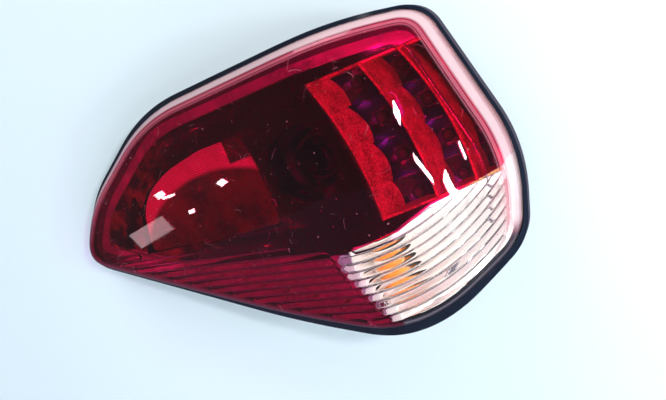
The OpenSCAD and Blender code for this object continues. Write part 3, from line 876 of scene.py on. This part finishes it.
def paint_margin(obj):
    """Paint margin, the distance in from the outline, and side, how far the outline there faces up and out,
    which sets where the margin's painted reflection is strongest.

    Both run from 0 to 1, where a margin of 1 is margin_unit in millimetres.
    """
    normals = [outward(lens_line, i) for i in range(lens_points)]
    gaps, sides = [], []
    for vertex in obj.data.vertices:
        p = Vector((vertex.co.x, vertex.co.z)) / MM
        i = min(range(lens_points), key=lambda n: (lens_line[n] - p).length_squared)
        aim = normals[i]
        gaps.append(min(1.0, max(0.0, (lens_line[i] - p).dot(aim)) / margin_unit))
        sides.append(min(1.0, max(0.0, 0.15 + 0.95 * (aim.x * 0.6 + aim.y * 0.8))))
    for name, values in (("margin", gaps), ("side", sides)):
        layer = obj.data.attributes.new(name, "FLOAT", "POINT")
        layer.data.foreach_set("value", values)


for piece in (red_lens, window):
    paint_margin(piece)
    smooth(piece, 40)
dress(red_lens, "red_lens", "outer_lens")
dress(window, "clear_lens", "signal_window")

# %% [markdown]
# ## The LED tray
# Behind the tall side stands a mirror-coated tray. Four fins stand round and between its three columns,
# and each column holds four bowls, one for each LED. A bowl is a paraboloid that fills its whole cell, so
# its edge runs forward into the corners and back at the middle of each side. That is what gives every fin
# its scalloped foot. The right side of a fin spreads towards its foot, as the photograph shows, by the
# widths in FIN_SPREAD.

# %% Tray sizes
FIN_X = [30, 70, 97, 113]
FIN_SPREAD = [9, 6, 3.5, 0]
fin_t = 1.8
tray_top = 86
tray_bottom = -24
tray_front = 14
fin_deep = 30
bowl_rate = 0.05
bowl_hole = 4.4
bowl_vertex = 20
led_rows = 4
led_low = -18
led_pitch = 31
lean_rate = 0.002
lean_from = -5


def lean(z):
    """How far the fins have leant towards the tip at height z."""
    return -lean_rate * (z - lean_from) ** 2


def column_x(c):
    return (FIN_X[c] + FIN_X[c + 1]) / 2


def led_z(r):
    return led_low + (led_rows - 1 - r) * led_pitch


def cell(c, r):
    """Left, right, low and high border of a bowl. Left and right are measured on the tray's foot line."""
    low = tray_bottom + fin_t if r == led_rows - 1 else led_z(r) - led_pitch / 2
    high = tray_top - fin_t if r == 0 else led_z(r) + led_pitch / 2
    return FIN_X[c] + FIN_SPREAD[c], FIN_X[c + 1] - fin_t, low, high


def bowl_y(c, x, z):
    """Depth line of the bowls of column c at x, z."""
    rows = [(abs(z - led_z(r)), r) for r in range(led_rows)]
    r = min(rows)[1]
    q2 = (x - column_x(c) - lean(led_z(r))) ** 2 + (z - led_z(r)) ** 2
    return plan(column_x(c)) + fin_deep + bowl_vertex - bowl_rate * q2


print("LED heights:", [led_z(r) for r in range(led_rows)])

# %% [markdown]
# One bowl is a grid in rings: each ring is a circle round the LED, held back at the cell's border. The
# rings step a fifth of a millimetre in and out, as the real bowl's fine prism rings do. Every bowl is
# laid with its own borders, because the columns differ in width and the fins lean.

# %% Bowls
ring_step = 1.15
ring_count = 24
spokes = 84
prism_step = 0.22
probe_step = 0.1
longest_reach = 40


def reach_in(c, r, turn):
    """How far a bowl reaches from its LED in direction turn."""
    left, right, low, high = cell(c, r)
    middle = column_x(c) + lean(led_z(r))
    reach = bowl_hole
    while reach < longest_reach:
        x = middle + reach * math.cos(turn)
        z = led_z(r) + reach * math.sin(turn)
        if not (left + lean(z) <= x <= right + lean(z) and low <= z <= high):
            return reach
        reach += probe_step
    return reach


def bowl_rows(c, r):
    middle = column_x(c) + lean(led_z(r))
    reaches = [reach_in(c, r, 2 * math.pi * s / spokes) for s in range(spokes)]
    rows = []
    for k in range(ring_count + 1):
        row = []
        for s in range(spokes):
            turn = 2 * math.pi * s / spokes
            q = min(bowl_hole + k * ring_step, reaches[s])
            step = prism_step if k % 2 and q < reaches[s] else 0.0
            x, z = middle + q * math.cos(turn), led_z(r) + q * math.sin(turn)
            y = plan(column_x(c)) + fin_deep + bowl_vertex - bowl_rate * q * q - step
            row.append((x, y, z))
        rows.append(row + row[:1])
    return rows


bowls = [woven(f"bowl_{c}_{r}", bowl_rows(c, r)) for c in range(3) for r in range(led_rows)]
print("bowls:", len(bowls))

# %% [markdown]
# A fin is a grid too, with one row for each height: down its left side, round its thin front edge and
# back along its right side. Both sides end just behind the bowls that they meet.

# %% Fins and walls of the tray


fin_steps = 110
wall_steps = 8
wall_front = 17.5
behind_bowls = 1.0
bowl_wall = 1.2


def fin_rows(f):
    rows = []
    for k in range(fin_steps + 1):
        z = tray_bottom + (tray_top - tray_bottom) * k / fin_steps
        right = FIN_X[f] + lean(z)
        left = right - fin_t
        front = plan(right) + tray_front
        foot = right + FIN_SPREAD[f]
        back_right = behind_bowls + (bowl_y(f, foot, z) if f < 3 else bowl_y(2, left, z))
        back_left = behind_bowls + bowl_y(f - 1, left, z) if f > 0 else back_right
        sides = [(left, back_left), (left, front + 6), (left, front + 0.7), (left + 0.3, front + 0.2),
                 (left + 0.9, front), (right - 0.3, front + 0.2), (right, front + 0.7), (right, front + 6),
                 ((right + foot) / 2, (front + 6 + back_right) / 2), (foot, back_right)]
        rows.append([(x, y, z) for x, y in sides + sides[:1]])
    return rows


def closed_rod(name, rows):
    """A tube of rows with both ends closed to a point."""
    ends = []
    for row in (rows[0], rows[-1]):
        middle = sum((Vector(p) for p in row[:-1]), Vector()) / (len(row) - 1)
        ends.append([tuple(middle)] * len(row))
    rod = woven(name, [ends[0]] + rows + [ends[1]])
    face_out(rod)
    return rod


def wall_rows(c, z0, z1):
    """The low or high wall of column c, from one of its fins to the next."""
    rows = []
    for k in range(wall_steps + 1):
        x_low = FIN_X[c] - fin_t + (FIN_X[c + 1] - FIN_X[c] + fin_t) * k / wall_steps
        row = []
        for z, back in ((z0, True), (z0, False), (z1, False), (z1, True)):
            x = x_low + lean(z)
            middle = (z0 + z1) / 2
            y = bowl_y(c, x, middle) + behind_bowls if back else plan(x) + wall_front
            row.append((x, y, z))
        rows.append(row + row[:1])
    return rows


fins = [closed_rod(f"fin_{f}", fin_rows(f)) for f in range(4)]
walls = [closed_rod(f"wall_{c}_{z0}", wall_rows(c, z0, z0 + fin_t)) for c in range(3)
         for z0 in (tray_bottom, tray_top - fin_t)]


fin_set = join("fins", fins + walls)
bowl_set = join("bowls", bowls)
use(bowl_set, "SOLIDIFY", thickness=bowl_wall * MM, offset=1)
print("fins:", len(fin_set.data.polygons), "bowls:", len(bowl_set.data.polygons))

# %% [markdown]
# The tray is vacuum-coated, and behind red acrylic only red comes back from it. Its light is painted into
# two finishes: the bowls are a dark purple mirror, painted shade for the dark that they mirror, and the
# fins a bright orange, a painted highlight for the light that their coat sends back. The fins' fine grain
# is real.

# %% Tray finishes


def bowl_painted_shade_finish():
    material, tree = new_material("bowl_painted_shade")
    grain = speckle(tree, 0.5, 2, 0.3, 0.7)
    x, y, z = place_of(tree)
    pins = ((x * 0.55).wave() * (z * 0.55).wave()).ramp(0.45, 0.8)
    # The bowls' dark purple mirror colour is painted shade; the lighter pin dots are a real pattern.
    base = blend(tree, pins, (0.2, 0.07, 0.5, 1), (0.55, 0.25, 0.9, 1))
    rough = grain * 0.08 + 0.12
    normal = bump(tree, pins, 0.12, 0.6)
    body = add_node(tree, "ShaderNodeBsdfPrincipled", Base_Color=base, Roughness=rough, Metallic=1.0,
                    Normal=normal)
    finish_with(tree, body)
    return material


def fin_painted_highlight_finish():
    material, tree = new_material("fin_painted_highlight")
    grain = speckle(tree, 1.6, 4, 0.4, 0.66)
    clouds = speckle(tree, 12, 3, 0.35, 0.65)
    # The fins' bright orange is a painted highlight for the light that the mirror coat sends back; the grain
    # is real.
    base = blend(tree, grain * 0.6 + clouds * 0.4, (0.24, 0.07, 0.05, 1), (1.0, 0.7, 0.24, 1))
    normal = bump(tree, grain, 0.14, 0.9)
    body = add_node(tree, "ShaderNodeBsdfPrincipled", Base_Color=base, Roughness=grain * 0.15 + 0.3,
                    Metallic=0.35, Normal=normal)
    finish_with(tree, body)
    return material


bowl_painted_shade = bowl_painted_shade_finish()
fin_painted_highlight = fin_painted_highlight_finish()
smooth(bowl_set, 50)
smooth(fin_set, 40)
dress(fin_set, "mirror_coating", "led_reflector", finish=fin_painted_highlight)
dress(bowl_set, "mirror_coating", finish=bowl_painted_shade)

# %% [markdown]
# ## The bezel
# The bezel is the dark trim behind the lens, with openings for the tray, the side panel and the signal
# bowl. Its CAD mesh has the right shape but sharp corners, so a copy is merged, its flat triangles are
# dissolved, and a small bevel is cut along its edges. Those bevels catch the thin bright lines that
# outline the frames. Its finish is near black in the middle, coated along the border and along the foot,
# and silver under the window, with a painted highlight: a pale pink strip low near the tip.

# %% Recasting a CAD piece


def recast(node, name, bevel_mm):
    """A copy of a CAD node with merged points, clean faces and bevelled edges."""
    copy = twin(frame["nodes"][node], name)
    for group in list(copy.vertex_groups):
        copy.vertex_groups.remove(group)
    copy.parent = None
    in_edit(
        copy,
        (bpy.ops.mesh.remove_doubles, {"threshold": 2e-6}),
        (bpy.ops.mesh.dissolve_limited, {"angle_limit": math.radians(1.5)}),
    )
    use(copy, "BEVEL", width=bevel_mm * MM, segments=2, limit_method="ANGLE", angle_limit=math.radians(30),
        harden_normals=False)
    return copy


bezel = recast("bezel", "bezel_trim", 0.5)
smooth(bezel, 35)


def straight_sides(corners):
    """Each side of a polygon as its inward direction and how far along that it lies."""
    sides = []
    for i, (x0, z0, reach) in enumerate(corners):
        x1, z1, reach = corners[(i + 1) % len(corners)]
        inward = Vector((z1 - z0, x0 - x1)).normalized()
        sides.append((inward, inward.x * x0 + inward.y * z0))
    return sides


def border_distance(x, z):
    """Millimetres in from the outline: the least distance to the straights between its corners."""
    nearest = None
    for inward, place in straight_sides(LENS_CORNERS):
        gap = x * inward.x + z * inward.y - place
        nearest = gap if nearest is None else nearest.soft_least(gap, 16)
    return nearest


def bezel_finish():
    """Near black in the middle, coated along the border and below, where the lens makes it crimson, with a
    pale pink strip low near the tip that is a painted highlight.
    """
    material, tree = new_material("bezel_coat")
    x, y, z = place_of(tree)
    border = border_distance(x, z)
    below = 1.5 - (x + 214) * 0.2 - z
    low = below.ramp(0, 1)
    # The strip is a painted highlight: a pale pink band on the coat, low near the tip.
    painted_highlight_strip = low * (1 - below.ramp(7, 9)) * (-172 - x).ramp(0, 6)
    coated = (1 - border.ramp(20.4, 21.2)).at_least(low)
    bright = border.ramp(12.6, 13.4) * (1 - low) + low * 0.85
    spots = speckle(tree, 22, 4, 0.3, 0.7)
    crimson = blend(tree, bright, (0.12, 0.04, 0.12, 1), (0.6, 0.34, 0.5, 1))
    crimson = blend(tree, spots * 0.5, crimson, (0.1, 0.03, 0.14, 1))
    tip = (-130 - x).ramp(0, 70) * speckle(tree, 16, 5, 0.4, 0.7)
    dark = blend(tree, tip, (0.008, 0.001, 0.003, 1), (0.3, 0.01, 0.05, 1))
    crimson = blend(tree, painted_highlight_strip * 0.8, crimson, (1.0, 0.85, 0.95, 1))
    base = blend(tree, coated, dark, crimson)
    slope = (-48 - z).at_least(0) * 0.5
    under_window = (x + 17 - slope).ramp(0, 1) * (x * 0.31 - 43 - z).ramp(0, 2)
    base = blend(tree, under_window, base, (0.93, 0.91, 0.88, 1))
    body = add_node(tree, "ShaderNodeBsdfPrincipled", Base_Color=base, Roughness=spots * 0.1 + 0.2,
                    Metallic=coated * 0.3, Coat_Weight=0.5)
    finish_with(tree, body)
    return material


dress(bezel, "bezel_dark", "bezel", finish=bezel_finish())

# %% [markdown]
# A bead runs round the dark field, 21 mm in from the outline, and shows as one thin bright line. The
# straights of the outline are moved in, cut with each other and blended again, and a thin tube is laid
# along the result.

# %% Bead
bead_inset = 21
bead_radius = 0.7
bead_deep = 14.6
bead_sides = 8
BEAD_BLENDS = [20, 20, 30, 22, 10, 24, 10, 36, 30]


def moved_in(corners, distance, blends):
    """The polygon of corners with every side moved in, as corners with new blends."""
    sides = [(inward, place + distance) for inward, place in straight_sides(corners)]
    found = []
    for i, reach in enumerate(blends):
        (a, p), (b, q) = sides[i - 1], sides[i]
        area = a.x * b.y - a.y * b.x
        found.append(((p * b.y - q * a.y) / area, (a.x * q - b.x * p) / area, reach))
    return found


def bead_rows(line):
    rows = []
    for i, p in enumerate(line):
        aim = outward(line, i)
        row = []
        for k in range(bead_sides):
            turn = 2 * math.pi * k / bead_sides
            q = p + aim * (bead_radius * math.cos(turn))
            row.append((q.x, plan(q.x) + bead_deep - bead_radius * math.sin(turn), q.y))
        rows.append(row + row[:1])
    return rows + rows[:1]


bead_line = even(rounded(moved_in(LENS_CORNERS, bead_inset, BEAD_BLENDS), 12), 300)
bead = woven("bezel_bead", bead_rows(bead_line))
face_out(bead)
smooth(bead, 60)
dress(bead, "bezel_dark", finish=mirror_coat)
print("bezel box:", [round(v, 1) for v in corner("bezel", 0)], [round(v, 1) for v in corner("bezel", 1)])

# %% [markdown]
# ## The reflex panel
# The long panel at the tip is a reflex reflector: its back is covered in small prisms, which show as a
# fine mesh of points. They are a real relief here, one raised point every second step of a grid that is
# laid along the bend. The grid gets its thickness by an extrude and is then cut to the panel's outline
# with a Boolean.

# %% Reflex panel
reflex_deep = 24
reflex_thick = 2.6
prism = 0.95
prism_high = 0.55
grid_left = -226
grid_right = -54
grid_low = -12
grid_high = 84
REFLEX_LINE = [
    (-212, 8, 8), (-203, 42, 10), (-187, 58, 11), (-158, 69, 14), (-110, 75, 16), (-66, 73, 7),
    (-60, 38, 16), (-60, -3, 4), (-112, -1, 16),
]


def reflex_rows():
    rows = []
    across = int((grid_right - grid_left) / prism)
    for j in range(int((grid_high - grid_low) / prism) + 1):
        row = []
        for i in range(across + 1):
            x, z = grid_left + i * prism, grid_low + j * prism
            high = prism_high if i % 2 == 0 and j % 2 == 0 else 0.0
            row.append((x, plan(x) + reflex_deep - high, z))
        rows.append(row)
    return rows


reflex = woven("reflex_mesh", reflex_rows(), merge=False)
pull_back(reflex, reflex_thick)
print("reflex grid:", len(reflex.data.polygons), "faces")

# %% [markdown]
# The outline of the panel is a few corners with blends, as on the lens. Its slab reaches from before the
# prisms to behind the panel, and only what lies inside it stays. A reflex panel sends light back to where
# it came from, so part of it is bright and part dark. Here that is painted: a crescent along its top and
# tip is a painted highlight, pale and glowing faintly, and the rest is painted shade, a dark red.

# %% Cutting the panel to its outline
panel_slab = slab("panel_slab", [tuple(p) for p in even(rounded(REFLEX_LINE, 8), 120)], -140, 30)
boolean(reflex, panel_slab, "INTERSECT")


def reflex_finish():
    material, tree = new_material("reflex_prisms")
    x, y, z = place_of(tree)
    points = ((x - grid_left) * (0.5 / prism)).wave() * ((z - grid_low) * (0.5 / prism)).wave()
    across, up = (x + 120) * (1 / 100), (z + 10) * (1 / 65)
    crescent = (across * across + up * up).ramp(0.94, 1.1)
    patch = (x + 86).ramp(0, 1) * (z - 54).ramp(0, 1)
    # Painted light: the crescent gets a pale painted highlight and a faint glow, and the rest a dark red
    # painted shade.
    lit = crescent * (1 - patch) * (speckle(tree, 18, 3, 0.2, 0.6) * 0.25 + 0.75)
    bright = blend(tree, points.ramp(0.1, 0.55), (0.5, 0.1, 0.12, 1), (1.0, 0.8, 0.85, 1))
    dull = blend(tree, speckle(tree, 24, 3, 0.3, 0.7), (0.05, 0.001, 0.02, 1), (0.16, 0.004, 0.02, 1))
    base = blend(tree, lit, dull, bright)
    rough = speckle(tree, 2, 2, 0.3, 0.7) * 0.1 + 0.1
    glow = blend(tree, lit * (points * 0.6 + 0.4), (0, 0, 0, 1), (1.0, 0.05, 0.2, 1))
    body = add_node(tree, "ShaderNodeBsdfPrincipled", Base_Color=base, Roughness=rough, Emission_Color=glow,
                    Coat_Weight=0.6, Emission_Strength=0.4)
    finish_with(tree, body)
    return material


dress(reflex, "reflex_red", "reflex_panel", finish=reflex_finish())
